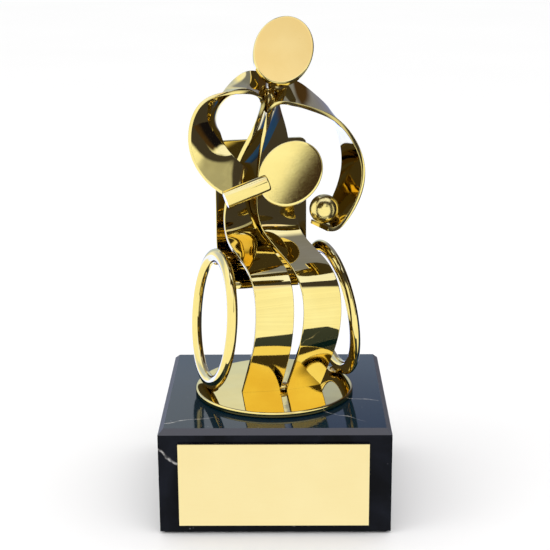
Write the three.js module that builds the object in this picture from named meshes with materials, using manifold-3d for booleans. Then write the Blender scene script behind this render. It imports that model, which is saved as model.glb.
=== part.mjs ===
// Figure trophy: a table-tennis player in a wheelchair, made of bent brass strip on a marble block.
// Millimetres, +Z up. The origin is the bottom centre of the felt pad. The front faces -Y, +X is
// on the right when the trophy is looked at from the front.
import * as THREE from 'three';
import { mergeVertices } from 'three/addons/utils/BufferGeometryUtils.js';
import Module from 'manifold-3d';

const wasm = await Module();
wasm.setup();

// ---- driving dimensions ---------------------------------------------------------------------

const GAP = 0.3;                 // space kept between pieces that are brazed, glued or bolted

const BLOCK_WIDTH = 85;          // marble block, along X
const BLOCK_DEPTH = 85;          // along Y
const BLOCK_HEIGHT = 40;
const BLOCK_CHAMFER = 2;         // on the four top edges
const FELT_THICKNESS = 1;
const FELT_INSET = 1.5;          // felt edge behind the block's edge

const DISC_THICKNESS = 2;        // brass disc that the figure stands on
const DISC_RIM = 0.7;            // rounding of the rim
const DISC_CENTRE = [-0.5, -1.2];

const STUD_DIAMETER = 5;         // threaded stud under the disc
const STUD_CLEARANCE = 0.75;     // radial room around the stud in the marble
const COUNTERBORE_DIAMETER = 22;
const COUNTERBORE_DEPTH = 14;
const WASHER_DIAMETER = 16;
const WASHER_THICKNESS = 1.2;
const NUT_WIDTH = 8;             // across the flats
const NUT_HEIGHT = 4;
const STUD_TAIL = 2.5;           // stud showing past the nut

const PLATE_MARGIN = 7.75;       // block's edge to the engraving plate's, on each side
const PLATE_WIDTH = BLOCK_WIDTH - 2 * PLATE_MARGIN;
const PLATE_HEIGHT = 32;
const PLATE_THICKNESS = 0.7;
const PLATE_RISE = 3;            // from the block's bottom edge to the plate's
const PLATE_SHIFT = -0.5;
const ADHESIVE_THICKNESS = 0.5;
const ADHESIVE_INSET = 2;

const FIGURE_YAW = 18;           // degrees, the figure looks to the right of the front
const FIGURE_CENTRE = [1.2, -0.9];

const STRIP_WIDTH = 14.7;        // the flat brass strip that legs, body and arms are bent from
const STRIP_THICKNESS = 1.6;
const STRIP_SIDE = (STRIP_WIDTH + STRIP_THICKNESS) / 2;   // from the figure's middle

const RING_RADIUS = 24.4;        // wheel ring, to the middle of the bar
const RING_BAR_RADIAL = 2.7;     // half sizes of the oval bar
const RING_BAR_AXIAL = 2.0;
const WHEEL_REAR = 6;            // wheel centre behind the figure's origin
const WHEEL_CAMBER = 7;          // degrees, tops lean inwards

const CHAIR_WIDTH = 36.4;
const WHEEL_ROOM = 5.9;          // chair's edge to the middle of the ring's bar
const WHEEL_HALF_TRACK = CHAIR_WIDTH / 2 + WHEEL_ROOM;   // at the height of the wheel centre
const DISC_MARGIN = 6.4;         // disc's edge outside the track
const DISC_DIAMETER = 2 * (WHEEL_HALF_TRACK + DISC_MARGIN);
const CHAIR_THICKNESS = 2;
const CHAIR_TOP = 92.3;          // above the disc
const CHAIR_SEAT = 44.7;         // top face of the seat, above the disc
const CHAIR_BACK = 25;           // middle of the back panel, behind the figure's origin
const CHAIR_DEPTH = 33;          // back panel to the seat's front edge
const CHAIR_BEND = 9;            // inside radius between back and seat
const CHAIR_LIP = 2.2;           // outside radius of the front edge, rolled downwards
const CHAIR_LIP_LENGTH = 0.6;    // straight end below the rolled edge
const CHAIR_CORNER = 2.5;
const CHAIR_YAW = -5;
const CHAIR_CENTRE_X = 1;

const HEAD_HALF_WIDTH = 11;
const HEAD_HALF_HEIGHT = 14.6;
const HEAD_THICKNESS = 2.8;
const HEAD_BEVEL = 0.5;
const HEAD_CENTRE = [4.7, 7, 127.9];
const HEAD_LEAN = 20;            // long axis, sideways
const HEAD_TILT = 36;            // face turned up
const HEAD_YAW = -10;

const BLADE_HALF_LENGTH = 12.8;  // oval paddle blade
const BLADE_HALF_WIDTH = 10.6;
const BLADE_THICKNESS = 2;
const BLADE_BEVEL = 0.4;
const HANDLE_DIAMETER = 6.3;
const HANDLE_LENGTH = 16.6;
const HANDLE_CROWN = 0.8;        // rounding of the end beside the blade
const BLADE_REACH = 25.2;        // free end of the handle to the middle of the blade
const BLADE_LEAN = 26;           // long axis of the blade above the handle's line
const HANDLE_START = [-17.65, -20, 79.5];   // x is counted from STRIP_SIDE
const HANDLE_YAW = -4;           // degrees, in plan
const HANDLE_RISE = 19;          // degrees, upwards
const BLADE_TURN = 22;           // degrees about the handle, face turned up

const BALL_DIAMETER = 11;
const BALL_STATION = 21;         // station of the left strip that the ball sits on
const BALL_FORWARD = 1.4;        // from the strip's middle towards its front edge
const BALL_BEAD_BACK = 3;        // its bead, from the ball's middle towards the arm
const BALL_BEAD_LIFT = 1.2;      // and out of the strip's face

const BEAD_RISE = 1.6;           // a wheel's upper bead above the seat's top face
const WHEEL_FOOT_BEAD = [2.4, 3.4, 1.6];   // half sizes; the middle follows the ring
const WHEEL_SEAT_BEAD = [2, 2.2, 2];
const BALL_BEAD = [1.6, 2.4, 1.6];

// middle, in the figure's frame, and half sizes
const FEET_BEAD = [[-0.4, -6, 1.1], [2.6, 2.4, 1.8]];
const HIP_BEAD = [[-7.5, 23, 66.7], [4, 2.2, 3]];
const HIPS_BEAD = [[-1.8, 19.6, 66.7], [1, 2.6, 3]];
const NECK_BEAD = [[-1.7, 5.4, 110], [STRIP_SIDE - 5.55, 3.4, 3.2]];
const HEAD_BEAD = [[1.6, 4.4, 115.7], [3, 2.8, 2.6]];
const HAND_BEAD = [[-11.45 - STRIP_SIDE, -16.6, 82.9], [4, 1.5, 1.2]];

// ---- strips: stations along each strip, foot to hand ------------------------------------------
// Each station is x, y, z of the middle of the strip in the figure's frame, which stands on the
// disc, then the direction of its width from the strip's edge on the figure's right to its other
// edge: turn in plan and tilt above level, in degrees. x is counted from STRIP_SIDE, on the
// strip's own side of the figure, so that wider or thicker strips stand further apart.

const RIGHT_STRIP_PATH = [
  [-0.65, -4.6, -0.9, -9, 0],
  [-0.25, -11.5, 10.7, -6, 0],
  [0.05, -17.5, 21.2, -2, 0],
  [0.05, -21, 32.7, 0, 0],
  [0.05, -20, 43.7, 0, 0],
  [0.05, -12, 49.7, 0, 0],
  [-0.45, 4, 52.9, 0, 0],
  [-0.75, 15.5, 56.9, 2, 2],
  [-0.25, 20.5, 65.7, 12, 0],
  [0.55, 18.3, 76.7, 26, -4],
  [1.85, 14.3, 87.7, 38, -6],
  [3.05, 9.8, 97.7, 54, 0],
  [3.75, 5.8, 106.7, 68, 12],
  [4.55, 3.6, 114.1, 68, 28],
  [-0.05, 2.6, 116.9, 68, 26],
  [-6.65, 1.9, 115.3, 68, 13],
  [-13.85, 0, 111.1, 58, -3],
  [-19.85, -4, 105.7, 38, -6],
  [-21.25, -8.5, 96.7, 22, 4],
  [-17.85, -13.2, 89.3, 14, 14],
  [-11.05, -15.6, 83.9, 26, 13],
];

const LEFT_STRIP_PATH = [
  [-0.25, -5.2, -0.9, 8, 0],
  [0.85, -12, 10.7, 4, 0],
  [1.45, -18.5, 21.2, 0, 0],
  [1.75, -22.6, 32.7, 0, 0],
  [1.65, -21, 43.2, 0, 0],
  [0.85, -12, 49.7, 0, 0],
  [-0.55, 2.5, 53.1, -4, -2],
  [-2.65, 12, 57.6, -8, -9],
  [-3.85, 16.6, 64.9, -6, -4],
  [-4.55, 15.8, 76.1, 6, 0],
  [-5.75, 12.3, 87.4, 22, -4],
  [-6.95, 8.8, 96.7, 38, 0],
  [-8.15, 6.2, 104.7, 55, 10],
  [-8.05, 3.6, 111.7, 65, 26],
  [-2.15, 2.6, 113.5, 66, 28],
  [6.05, 2, 109.5, 72, 15],
  [13.85, 1, 104.1, 80, 4],
  [19.05, -0.6, 95.3, 92, 0],
  [21.15, -2.4, 85.3, 101, 0],
  [18.85, -4.4, 76.1, 104, 2],
  [13.25, -6.8, 67.9, 100, 2],
  [8.85, -8, 64.1, 98, 0],
  [5.45, -8.4, 64.5, 98, 0],
];

const STRIP_STEPS = 5;           // cross-sections in each span between stations
const STRIP_SMOOTHING = 5;       // passes that even out the bend from span to span

const DISC_SEGMENTS = 64;        // flats that stand for each round
const RING_SEGMENTS = 48;
const RING_BAR_SEGMENTS = 12;
const BORE_SEGMENTS = 32;
const STUD_SEGMENTS = 24;
const HANDLE_SEGMENTS = 28;
const OVERRUN = 2;               // cutters run this far past the faces that they cut

// ---- helpers --------------------------------------------------------------------------------

const RIGHT_ANGLE = Math.PI / 2;
const rad = THREE.MathUtils.degToRad;

function solid(geometry) {
  const bare = geometry.clone();
  bare.deleteAttribute('normal');
  bare.deleteAttribute('uv');
  const welded = mergeVertices(bare, 1e-4);
  const vertProperties = new Float32Array(welded.attributes.position.array);
  const triVerts = new Uint32Array(welded.index.array);
  return new wasm.Manifold(new wasm.Mesh({ numProp: 3, vertProperties, triVerts }));
}

function geometryOf(manifold) {
  const mesh = manifold.getMesh();
  const geometry = new THREE.BufferGeometry();
  geometry.setAttribute('position', new THREE.BufferAttribute(new Float32Array(mesh.vertProperties), 3));
  geometry.setIndex(new THREE.BufferAttribute(new Uint32Array(mesh.triVerts), 1));
  return geometry;
}

function cut(geometry, ...tools) {
  return geometryOf(tools.reduce((body, tool) => body.subtract(solid(tool)), solid(geometry)));
}

function placed(geometry, matrix) {
  return geometry.clone().applyMatrix4(matrix);
}

function upright(radius, height, segments, bottom, centre = [0, 0]) {
  const geometry = new THREE.CylinderGeometry(radius, radius, height, segments);
  geometry.rotateX(RIGHT_ANGLE);
  geometry.translate(centre[0], centre[1], bottom + height / 2);
  return geometry;
}

function part(name, geometry, finish) {
  const mesh = new THREE.Mesh(geometry, new THREE.MeshStandardMaterial(finish));
  mesh.name = name;
  return mesh;
}

const BRASS = { color: 0xe8c060, roughness: 0.08, metalness: 1 };
const BRAZE = { color: 0xe0b452, roughness: 0.2, metalness: 1 };
const MARBLE = { color: 0x14141f, roughness: 0.08, metalness: 0 };
const FELT = { color: 0x101010, roughness: 0.95, metalness: 0 };
const STEEL = { color: 0xb8bcc0, roughness: 0.35, metalness: 1 };
const PLATE_GOLD = { color: 0xf4e2a4, roughness: 0.45, metalness: 1 };
const ADHESIVE = { color: 0xf0f0ec, roughness: 0.8, metalness: 0 };

// ---- base -----------------------------------------------------------------------------------

const BLOCK_BOTTOM = FELT_THICKNESS;
const BLOCK_TOP = BLOCK_BOTTOM + BLOCK_HEIGHT;
const DISC_BOTTOM = BLOCK_TOP + GAP;
const DISC_TOP = DISC_BOTTOM + DISC_THICKNESS;
const COUNTERBORE_TOP = BLOCK_BOTTOM + COUNTERBORE_DEPTH;
const WASHER_TOP = COUNTERBORE_TOP - GAP;
const NUT_TOP = WASHER_TOP - WASHER_THICKNESS - GAP;
const STUD_BOTTOM = NUT_TOP - NUT_HEIGHT - STUD_TAIL;
const STUD_TOP = DISC_BOTTOM - GAP;

function feltPad() {
  const width = BLOCK_WIDTH - 2 * FELT_INSET;
  const depth = BLOCK_DEPTH - 2 * FELT_INSET;
  const pad = new THREE.BoxGeometry(width, depth, FELT_THICKNESS - GAP);
  pad.translate(0, 0, (FELT_THICKNESS - GAP) / 2);
  const length = FELT_THICKNESS + 2 * OVERRUN;
  return cut(pad, upright(COUNTERBORE_DIAMETER / 2, length, BORE_SEGMENTS, -OVERRUN, DISC_CENTRE));
}

function marbleBlock() {
  const halfWidth = BLOCK_WIDTH / 2;
  const halfDepth = BLOCK_DEPTH / 2;
  const shoulder = BLOCK_TOP - BLOCK_CHAMFER;
  const lower = new THREE.BoxGeometry(BLOCK_WIDTH, BLOCK_DEPTH, BLOCK_HEIGHT);
  lower.translate(0, 0, BLOCK_BOTTOM + BLOCK_HEIGHT / 2);
  const wedge = (half, length, alongX) => {
    const profile = new THREE.Shape();
    profile.moveTo(half, shoulder);
    profile.lineTo(half + OVERRUN, shoulder);
    profile.lineTo(half + OVERRUN, BLOCK_TOP + OVERRUN);
    profile.lineTo(half - BLOCK_CHAMFER, BLOCK_TOP + OVERRUN);
    profile.lineTo(half - BLOCK_CHAMFER, BLOCK_TOP);
    profile.closePath();
    const depth = length + 2 * OVERRUN;
    const geometry = new THREE.ExtrudeGeometry(profile, { depth, bevelEnabled: false });
    geometry.translate(0, 0, -depth / 2);
    geometry.rotateX(RIGHT_ANGLE);
    if (alongX) {
      geometry.rotateZ(RIGHT_ANGLE);
    }
    return geometry;
  };
  const tools = [];
  for (const side of [0, Math.PI]) {
    tools.push(wedge(halfWidth, BLOCK_DEPTH, false).rotateZ(side));
    tools.push(wedge(halfDepth, BLOCK_WIDTH, true).rotateZ(side));
  }
  const bottom = BLOCK_BOTTOM - OVERRUN;
  const hole = STUD_DIAMETER / 2 + STUD_CLEARANCE;
  const counterbore = COUNTERBORE_DIAMETER / 2;
  tools.push(upright(hole, BLOCK_HEIGHT + 2 * OVERRUN, STUD_SEGMENTS, bottom, DISC_CENTRE));
  tools.push(upright(counterbore, COUNTERBORE_DEPTH + OVERRUN, BORE_SEGMENTS, bottom, DISC_CENTRE));
  return cut(lower, ...tools);
}

function baseDisc() {
  const radius = DISC_DIAMETER / 2;
  const points = [
    [0, DISC_BOTTOM],
    [radius - DISC_RIM / 2, DISC_BOTTOM],
    [radius, DISC_BOTTOM + DISC_RIM / 2],
  ];
  const rimSteps = 3;
  for (let step = 0; step <= rimSteps; step += 1) {
    const angle = (step / rimSteps) * RIGHT_ANGLE;
    points.push([
      radius - DISC_RIM + DISC_RIM * Math.cos(angle),
      DISC_TOP - DISC_RIM + DISC_RIM * Math.sin(angle),
    ]);
  }
  points.push([0, DISC_TOP]);
  const geometry = new THREE.LatheGeometry(points.map(([r, z]) => new THREE.Vector2(r, z)), DISC_SEGMENTS);
  geometry.rotateX(RIGHT_ANGLE);
  geometry.translate(DISC_CENTRE[0], DISC_CENTRE[1], 0);
  return geometry;
}

function fixingStud() {
  return upright(STUD_DIAMETER / 2, STUD_TOP - STUD_BOTTOM, STUD_SEGMENTS, STUD_BOTTOM, DISC_CENTRE);
}

function fixingRing(outer, height, top, segments) {
  const body = upright(outer, height, segments, top - height, DISC_CENTRE);
  const bottom = top - height - OVERRUN;
  const bore = upright(STUD_DIAMETER / 2 + GAP, height + 2 * OVERRUN, STUD_SEGMENTS, bottom, DISC_CENTRE);
  return cut(body, bore);
}

function engravingPlate(inset, thickness, outwards) {
  const width = PLATE_WIDTH - 2 * inset;
  const height = PLATE_HEIGHT - 2 * inset;
  const geometry = new THREE.BoxGeometry(width, thickness, height);
  const middle = BLOCK_BOTTOM + PLATE_RISE + PLATE_HEIGHT / 2;
  geometry.translate(PLATE_SHIFT, -BLOCK_DEPTH / 2 - outwards - thickness / 2, middle);
  return geometry;
}

// ---- figure ---------------------------------------------------------------------------------

function evened(list, passes) {
  let current = list;
  for (let pass = 0; pass < passes; pass += 1) {
    current = current.map((point, index) => {
      if (index === 0 || index === current.length - 1) {
        return point;
      }
      const middle = current[index - 1].clone().add(current[index + 1]).multiplyScalar(0.5);
      return point.clone().lerp(middle, 0.5);
    });
  }
  return current;
}

function stripSections(path, side) {
  const steps = (path.length - 1) * STRIP_STEPS;
  const stations = path.map(([x, y, z]) => new THREE.Vector3(x + side * STRIP_SIDE, y, z));
  const middles = new THREE.CatmullRomCurve3(stations);
  const widths = new THREE.CatmullRomCurve3(path.map(([, , , turn, tilt]) => new THREE.Vector3(
    Math.cos(rad(turn)) * Math.cos(rad(tilt)),
    Math.sin(rad(turn)) * Math.cos(rad(tilt)),
    Math.sin(rad(tilt)),
  )));
  const centres = evened(middles.getPoints(steps), STRIP_SMOOTHING);
  const directions = evened(widths.getPoints(steps), STRIP_SMOOTHING);
  return centres.map((centre, index) => {
    const before = centres[Math.max(index - 1, 0)];
    const after = centres[Math.min(index + 1, steps)];
    const along = after.clone().sub(before).normalize();
    const across = directions[index].clone();
    across.addScaledVector(along, -across.dot(along)).normalize();
    const normal = along.clone().cross(across);
    return { centre, along, across, normal };
  });
}

function bentStrip(path, side) {
  const halfWidth = STRIP_WIDTH / 2;
  const halfThickness = STRIP_THICKNESS / 2;
  const sections = stripSections(path, side);
  const last = sections.length - 1;
  const positions = [];
  for (const { centre, across, normal } of sections) {
    for (const [edge, face] of [[-1, -1], [1, -1], [1, 1], [-1, 1]]) {
      const corner = centre.clone().addScaledVector(across, edge * halfWidth);
      corner.addScaledVector(normal, face * halfThickness);
      positions.push(corner.x, corner.y, corner.z);
    }
  }
  const index = [];
  for (let section = 0; section < last; section += 1) {
    for (let corner = 0; corner < 4; corner += 1) {
      const a = section * 4 + corner;
      const b = section * 4 + ((corner + 1) % 4);
      index.push(a, b, b + 4, a, b + 4, a + 4);
    }
  }
  const end = last * 4;
  index.push(0, 2, 1, 0, 3, 2, end, end + 1, end + 2, end, end + 2, end + 3);
  const geometry = new THREE.BufferGeometry();
  geometry.setAttribute('position', new THREE.Float32BufferAttribute(positions, 3));
  geometry.setIndex(index);
  return geometry;
}

function standing(geometry) {
  // the foot is filed flat where it stands on the disc
  const floor = new THREE.BoxGeometry(4 * DISC_DIAMETER, 4 * DISC_DIAMETER, BLOCK_HEIGHT);
  floor.translate(0, 0, GAP - BLOCK_HEIGHT / 2);
  return cut(geometry, floor);
}

function wheelRing() {
  const points = [];
  for (let step = 0; step <= RING_BAR_SEGMENTS; step += 1) {
    const angle = (step / RING_BAR_SEGMENTS) * 2 * Math.PI;
    points.push(new THREE.Vector2(
      RING_RADIUS + RING_BAR_RADIAL * Math.cos(angle),
      RING_BAR_AXIAL * Math.sin(angle),
    ));
  }
  const geometry = new THREE.LatheGeometry(points, RING_SEGMENTS);
  geometry.rotateZ(RIGHT_ANGLE);
  return geometry;
}

const CAMBER = rad(WHEEL_CAMBER);
const RING_OUTSIDE = RING_RADIUS + RING_BAR_RADIAL;
const AXLE_HEIGHT = GAP + Math.hypot(RING_OUTSIDE * Math.cos(CAMBER), RING_BAR_AXIAL * Math.sin(CAMBER));

function wheelMatrix(side) {
  const matrix = new THREE.Matrix4().makeRotationY(-side * CAMBER);
  return matrix.setPosition(side * WHEEL_HALF_TRACK, WHEEL_REAR, AXLE_HEIGHT);
}

function chairShell() {
  const outside = CHAIR_BEND + CHAIR_THICKNESS;
  const back = CHAIR_THICKNESS / 2;
  const front = -CHAIR_DEPTH;
  const under = CHAIR_SEAT - CHAIR_THICKNESS;
  const inLip = CHAIR_LIP - CHAIR_THICKNESS;
  const profile = new THREE.Shape();
  profile.moveTo(back, CHAIR_TOP);
  profile.lineTo(-back, CHAIR_TOP);
  profile.lineTo(-back, CHAIR_SEAT + CHAIR_BEND);
  profile.absarc(-back - CHAIR_BEND, CHAIR_SEAT + CHAIR_BEND, CHAIR_BEND, 0, -RIGHT_ANGLE, true);
  profile.lineTo(front + CHAIR_LIP, CHAIR_SEAT);
  profile.absarc(front + CHAIR_LIP, CHAIR_SEAT - CHAIR_LIP, CHAIR_LIP, RIGHT_ANGLE, Math.PI, false);
  profile.lineTo(front, CHAIR_SEAT - CHAIR_LIP - CHAIR_LIP_LENGTH);
  profile.lineTo(front + CHAIR_THICKNESS, CHAIR_SEAT - CHAIR_LIP - CHAIR_LIP_LENGTH);
  profile.lineTo(front + CHAIR_THICKNESS, CHAIR_SEAT - CHAIR_LIP);
  profile.absarc(front + CHAIR_LIP, CHAIR_SEAT - CHAIR_LIP, inLip, Math.PI, RIGHT_ANGLE, true);
  profile.lineTo(-back - CHAIR_BEND, under);
  profile.absarc(-back - CHAIR_BEND, CHAIR_SEAT + CHAIR_BEND, outside, -RIGHT_ANGLE, 0, false);
  profile.closePath();
  const shell = new THREE.ExtrudeGeometry(profile, {
    depth: CHAIR_WIDTH,
    bevelEnabled: false,
    curveSegments: 8,
  });
  shell.translate(0, 0, -CHAIR_WIDTH / 2);
  shell.applyMatrix4(new THREE.Matrix4().set(0, 0, 1, 0, 1, 0, 0, 0, 0, 1, 0, 0, 0, 0, 0, 1));
  const half = CHAIR_WIDTH / 2;
  const shoulder = CHAIR_TOP - 2 * CHAIR_CORNER;
  const outline = new THREE.Shape();
  outline.moveTo(-half - OVERRUN, 0);
  outline.lineTo(half + OVERRUN, 0);
  outline.lineTo(half + OVERRUN, shoulder);
  outline.lineTo(half, shoulder);
  outline.lineTo(half, CHAIR_TOP - CHAIR_CORNER);
  outline.absarc(half - CHAIR_CORNER, CHAIR_TOP - CHAIR_CORNER, CHAIR_CORNER, 0, RIGHT_ANGLE, false);
  outline.absarc(CHAIR_CORNER - half, CHAIR_TOP - CHAIR_CORNER, CHAIR_CORNER, RIGHT_ANGLE, Math.PI, false);
  outline.lineTo(-half, shoulder);
  outline.lineTo(-half - OVERRUN, shoulder);
  outline.closePath();
  const blank = new THREE.ExtrudeGeometry(outline, {
    depth: 4 * CHAIR_DEPTH,
    bevelEnabled: false,
    curveSegments: 5,
  });
  blank.translate(0, 0, -2 * CHAIR_DEPTH);
  blank.rotateX(RIGHT_ANGLE);
  return geometryOf(solid(shell).intersect(solid(blank)));
}

function ellipseDisc(halfWidth, halfHeight, thickness, bevel, grow = 0) {
  const shape = new THREE.Shape();
  shape.absellipse(0, 0, halfWidth - bevel + grow, halfHeight - bevel + grow, 0, 2 * Math.PI, false, 0);
  const depth = thickness - 2 * bevel + 2 * grow;
  const geometry = new THREE.ExtrudeGeometry(shape, {
    depth,
    bevelEnabled: true,
    bevelThickness: bevel,
    bevelSize: bevel,
    bevelSegments: 2,
    curveSegments: 28,
  });
  geometry.translate(0, 0, -depth / 2);
  return geometry;
}

function headMatrix() {
  // the disc is made in the X-Y plane; stand it up facing -Y, lean it, tilt it and turn it
  const matrix = new THREE.Matrix4().makeRotationZ(rad(HEAD_YAW));
  matrix.multiply(new THREE.Matrix4().makeRotationX(RIGHT_ANGLE - rad(HEAD_TILT)));
  matrix.multiply(new THREE.Matrix4().makeRotationZ(-rad(HEAD_LEAN)));
  matrix.setPosition(...HEAD_CENTRE);
  return matrix;
}

function paddleMatrix() {
  // X runs along the handle from its free end, Z is the blade's face direction
  const matrix = new THREE.Matrix4().makeRotationZ(rad(HANDLE_YAW));
  matrix.multiply(new THREE.Matrix4().makeRotationY(-rad(HANDLE_RISE)));
  matrix.multiply(new THREE.Matrix4().makeRotationX(RIGHT_ANGLE - rad(BLADE_TURN)));
  matrix.setPosition(HANDLE_START[0] - STRIP_SIDE, HANDLE_START[1], HANDLE_START[2]);
  return matrix;
}

function blade(grow = 0) {
  const geometry = ellipseDisc(BLADE_HALF_LENGTH, BLADE_HALF_WIDTH, BLADE_THICKNESS, BLADE_BEVEL, grow);
  geometry.rotateZ(rad(BLADE_LEAN));
  geometry.translate(BLADE_REACH, 0, 0);
  return geometry;
}

function handle() {
  const radius = HANDLE_DIAMETER / 2;
  const crownRadius = 0.6 * radius;
  const points = [
    [0, 0],
    [radius, 0],
    [radius, HANDLE_LENGTH - HANDLE_CROWN],
    [crownRadius, HANDLE_LENGTH - HANDLE_CROWN / 4],
    [0, HANDLE_LENGTH],
  ];
  const profile = points.map(([r, z]) => new THREE.Vector2(r, z));
  const geometry = new THREE.LatheGeometry(profile, HANDLE_SEGMENTS);
  geometry.rotateZ(-RIGHT_ANGLE);
  return geometry;
}

function around(geometry) {
  // the shape moved towards each corner of a small box, to cut a neighbour clear of it;
  // the box is sized so that flat faces at any angle stay about one gap apart
  const step = 0.85 * GAP;
  const copies = [];
  for (const x of [-step, step]) {
    for (const y of [-step, step]) {
      for (const z of [-step, step]) {
        copies.push(geometry.clone().translate(x, y, z));
      }
    }
  }
  return copies;
}

function braze(centre, radii, ...neighbours) {
  // a bead of filler metal, shaped by the pieces that it joins
  const bead = new THREE.SphereGeometry(1, 12, 8);
  bead.scale(...radii);
  bead.translate(...centre);
  return standing(cut(bead, ...neighbours.flatMap(around)));
}

const rightWheel = wheelMatrix(-1);
const leftWheel = wheelMatrix(1);
const chairPlace = new THREE.Matrix4().makeRotationZ(rad(CHAIR_YAW));
chairPlace.setPosition(CHAIR_CENTRE_X, CHAIR_BACK, 0);

const rightStrip = bentStrip(RIGHT_STRIP_PATH, -1);
const leftStrip = bentStrip(LEFT_STRIP_PATH, 1);
const rightRing = placed(wheelRing(), rightWheel);
const leftRing = placed(wheelRing(), leftWheel);
const chair = placed(chairShell(), chairPlace);
const headShape = ellipseDisc(HEAD_HALF_WIDTH, HEAD_HALF_HEIGHT, HEAD_THICKNESS, HEAD_BEVEL);
const head = placed(headShape, headMatrix());
const bladePiece = placed(blade(), paddleMatrix());
const handlePiece = placed(cut(handle(), blade(GAP)), paddleMatrix());

const figure = new THREE.Group();
figure.position.set(FIGURE_CENTRE[0], FIGURE_CENTRE[1], DISC_TOP);
figure.rotation.z = rad(FIGURE_YAW);
figure.add(part('right_body_strip', standing(cut(rightStrip, ...around(handlePiece))), BRASS));
figure.add(part('left_body_strip', standing(leftStrip), BRASS));
figure.add(part('right_wheel_ring', rightRing, BRASS));
figure.add(part('left_wheel_ring', leftRing, BRASS));
figure.add(part('chair_shell', chair, BRASS));
figure.add(part('head_disc', head, BRASS));
figure.add(part('paddle_blade', bladePiece, BRASS));
figure.add(part('paddle_handle', handlePiece, BRASS));

const palm = stripSections(LEFT_STRIP_PATH, 1)[BALL_STATION * STRIP_STEPS];
const palmFace = palm.centre.clone().addScaledVector(palm.across, -BALL_FORWARD);
palmFace.addScaledVector(palm.normal, -STRIP_THICKNESS / 2);
const ballCentre = palmFace.clone().addScaledVector(palm.normal, -BALL_DIAMETER / 2 - 2 * GAP);
const ballBead = palmFace.clone().addScaledVector(palm.along, -BALL_BEAD_BACK);
ballBead.addScaledVector(palm.normal, -BALL_BEAD_LIFT);
const ball = new THREE.SphereGeometry(BALL_DIAMETER / 2, 24, 12);
ball.translate(...ballCentre);
figure.add(part('ball', ball, BRASS));

function wheelFoot(side) {
  return [side * (WHEEL_HALF_TRACK + RING_OUTSIDE * Math.sin(CAMBER) - RING_BAR_AXIAL), WHEEL_REAR, GAP];
}

function wheelSeat(side) {
  // where the ring crosses the chair's side edge, or its top if it stays below the seat
  const rise = CHAIR_SEAT + BEAD_RISE - AXLE_HEIGHT;
  const seatCrossing = Math.sqrt(Math.max(RING_RADIUS ** 2 - rise ** 2, 0));
  const back = Math.min(seatCrossing, CHAIR_BACK - WHEEL_REAR - CHAIR_THICKNESS / 2);
  const up = Math.sqrt(RING_RADIUS ** 2 - back ** 2);
  const ringSide = WHEEL_HALF_TRACK - up * Math.sin(CAMBER) - RING_BAR_AXIAL;
  const y = WHEEL_REAR + back;
  const chairSide = side * CHAIR_WIDTH / 2 + CHAIR_CENTRE_X - (y - CHAIR_BACK) * Math.sin(rad(CHAIR_YAW));
  return [(side * ringSide + chairSide) / 2, y, AXLE_HEIGHT + up];
}

const beads = {
  braze_feet: braze(...FEET_BEAD, rightStrip, leftStrip),
  braze_right_wheel_foot: braze(wheelFoot(-1), WHEEL_FOOT_BEAD, rightRing),
  braze_left_wheel_foot: braze(wheelFoot(1), WHEEL_FOOT_BEAD, leftRing),
  braze_right_wheel_seat: braze(wheelSeat(-1), WHEEL_SEAT_BEAD, rightRing, chair),
  braze_left_wheel_seat: braze(wheelSeat(1), WHEEL_SEAT_BEAD, leftRing, chair),
  braze_hip: braze(...HIP_BEAD, rightStrip, chair),
  braze_hips: braze(...HIPS_BEAD, rightStrip, leftStrip),
  braze_neck: braze(...NECK_BEAD, rightStrip, leftStrip),
  braze_head: braze(...HEAD_BEAD, rightStrip, leftStrip, head),
  braze_hand: braze(...HAND_BEAD, rightStrip, handlePiece),
  braze_ball: braze(ballBead.toArray(), BALL_BEAD, leftStrip, ball),
};
for (const [name, geometry] of Object.entries(beads)) {
  figure.add(part(name, geometry, BRAZE));
}

const trophy = new THREE.Group();
trophy.add(part('felt_pad', feltPad(), FELT));
trophy.add(part('marble_base', marbleBlock(), MARBLE));
trophy.add(part('base_disc', baseDisc(), BRASS));
trophy.add(part('fixing_stud', fixingStud(), STEEL));
const washer = fixingRing(WASHER_DIAMETER / 2, WASHER_THICKNESS, WASHER_TOP, BORE_SEGMENTS);
trophy.add(part('fixing_washer', washer, STEEL));
const nutCornerRadius = NUT_WIDTH / 2 / Math.cos(Math.PI / 6);
trophy.add(part('fixing_nut', fixingRing(nutCornerRadius, NUT_HEIGHT, NUT_TOP, 6), STEEL));
const adhesive = engravingPlate(ADHESIVE_INSET, ADHESIVE_THICKNESS - GAP, GAP);
trophy.add(part('plate_adhesive', adhesive, ADHESIVE));
const plate = engravingPlate(0, PLATE_THICKNESS, ADHESIVE_THICKNESS + GAP);
trophy.add(part('engraving_plate', plate, PLATE_GOLD));
trophy.add(figure);

export default trophy;
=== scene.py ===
import math

import bmesh
import bpy
from mathutils import Matrix, Vector, noise


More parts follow.
